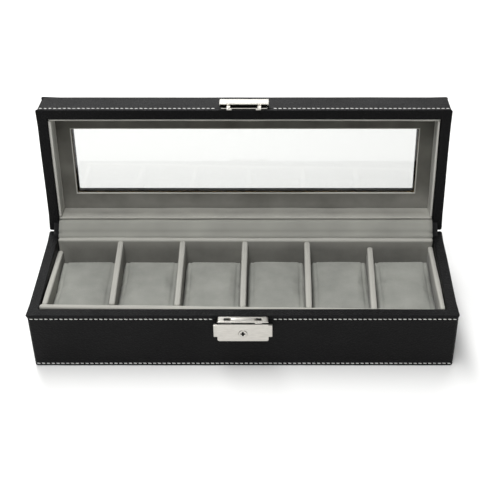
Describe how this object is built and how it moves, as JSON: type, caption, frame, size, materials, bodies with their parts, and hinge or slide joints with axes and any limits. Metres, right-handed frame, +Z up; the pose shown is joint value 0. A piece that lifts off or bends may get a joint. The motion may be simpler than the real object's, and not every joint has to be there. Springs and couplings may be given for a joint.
{
  "type": "watch box",
  "caption": "Long leather-wrapped watch box, open: velvet-lined base divided into cushioned slots, hinged lid with a glass window, press lock with pinch buttons.",
  "frame": {"origin": "centre of the underside, on the surface that the box stands on", "axes": "+Z up; the front with the lock faces -Y; X runs along the box's length"},
  "size_m": [0.337, 0.1575, 0.1704],
  "materials": {
    "leather": "fine pebble grain, semi-matt",
    "fibreboard": "raw board",
    "velvet": "short pile",
    "cushion_cloth": "short pile velvet",
    "gusset_cloth": "matt cloth",
    "felt": "felt",
    "glass": "clear float glass",
    "nickel": "bright nickel plate",
    "screw_steel": "zinc plated",
    "spring_steel": "drawn wire"
  },
  "bodies": {
    "base": {"base_leather_wrap": "leather", "base_board_bottom": "fibreboard", "base_board_front": "fibreboard", "base_board_back": "fibreboard", "base_board_left": "fibreboard", "base_board_right": "fibreboard", "liner_floor": "velvet", "liner_front": "velvet", "liner_back": "velvet", "liner_left": "velvet", "liner_right": "velvet", "divider_1": "velvet", "divider_2": "velvet", "divider_3": "velvet", "divider_4": "velvet", "divider_5": "velvet", "gusset": "gusset_cloth", "underside_felt": "felt", "hinge_leaf_base_left": "nickel", "hinge_pin_left": "nickel", "hinge_leaf_base_right": "nickel", "hinge_pin_right": "nickel", "lock_case": "nickel", "lock_back_plate": "nickel", "base_screw_left_inner": "screw_steel", "base_screw_left_outer": "screw_steel", "base_screw_right_inner": "screw_steel", "base_screw_right_outer": "screw_steel", "button_spring_left": "spring_steel", "button_spring_right": "spring_steel"},
    "lid": {"lid_side_wrap": "leather", "lid_top_wrap": "leather", "lid_board_front": "fibreboard", "lid_board_back": "fibreboard", "lid_board_left": "fibreboard", "lid_board_right": "fibreboard", "lid_board_top": "fibreboard", "lid_window_frame": "velvet", "lid_liner_front": "velvet", "lid_liner_back": "velvet", "lid_liner_left": "velvet", "lid_liner_right": "velvet", "lid_glass": "glass", "lid_screw_left_inner": "screw_steel", "lid_screw_left_outer": "screw_steel", "lid_screw_right_inner": "screw_steel", "lid_screw_right_outer": "screw_steel", "hinge_leaf_lid_left": "nickel", "hinge_leaf_lid_right": "nickel", "catch_cover": "nickel", "catch_hook_plate": "nickel"},
    "cushion_body_1": {"cushion_1": "cushion_cloth"},
    "cushion_body_2": {"cushion_2": "cushion_cloth"},
    "cushion_body_3": {"cushion_3": "cushion_cloth"},
    "cushion_body_4": {"cushion_4": "cushion_cloth"},
    "cushion_body_5": {"cushion_5": "cushion_cloth"},
    "cushion_body_6": {"cushion_6": "cushion_cloth"},
    "button_left": {"lock_button_left": "nickel"},
    "button_right": {"lock_button_right": "nickel"},
    "key": {"key_barrel": "nickel"}
  },
  "joints": [
    {"name": "lid_hinge", "type": "hinge", "parent": "base", "child": "lid", "pos_m": [0, 0.0565, 0.05325], "axis": [-1, 0, 0], "range_deg": [-95.5, 0], "deforming": ["gusset"]},
    {"name": "cushion_lift_1", "type": "slide", "parent": "base", "child": "cushion_body_1", "axis": [0, 0, 1], "range_m": [0, 0.06]},
    {"name": "cushion_lift_2", "type": "slide", "parent": "base", "child": "cushion_body_2", "axis": [0, 0, 1], "range_m": [0, 0.06]},
    {"name": "cushion_lift_3", "type": "slide", "parent": "base", "child": "cushion_body_3", "axis": [0, 0, 1], "range_m": [0, 0.06]},
    {"name": "cushion_lift_4", "type": "slide", "parent": "base", "child": "cushion_body_4", "axis": [0, 0, 1], "range_m": [0, 0.06]},
    {"name": "cushion_lift_5", "type": "slide", "parent": "base", "child": "cushion_body_5", "axis": [0, 0, 1], "range_m": [0, 0.06]},
    {"name": "cushion_lift_6", "type": "slide", "parent": "base", "child": "cushion_body_6", "axis": [0, 0, 1], "range_m": [0, 0.06]},
    {"name": "button_left_press", "type": "slide", "parent": "base", "child": "button_left", "axis": [1, 0, 0], "range_m": [0, 0.0018], "stiffness_N_per_m": 600, "springref_m": -0.002, "deforming": ["button_spring_left"]},
    {"name": "button_right_press", "type": "slide", "parent": "base", "child": "button_right", "axis": [-1, 0, 0], "range_m": [0, 0.0018], "stiffness_N_per_m": 600, "springref_m": -0.002, "deforming": ["button_spring_right"]},
    {"name": "key_turn", "type": "hinge", "parent": "base", "child": "key", "pos_m": [0, -0.06, 0.0398], "axis": [0, 1, 0], "range_deg": [-90, 0]}
  ]
}
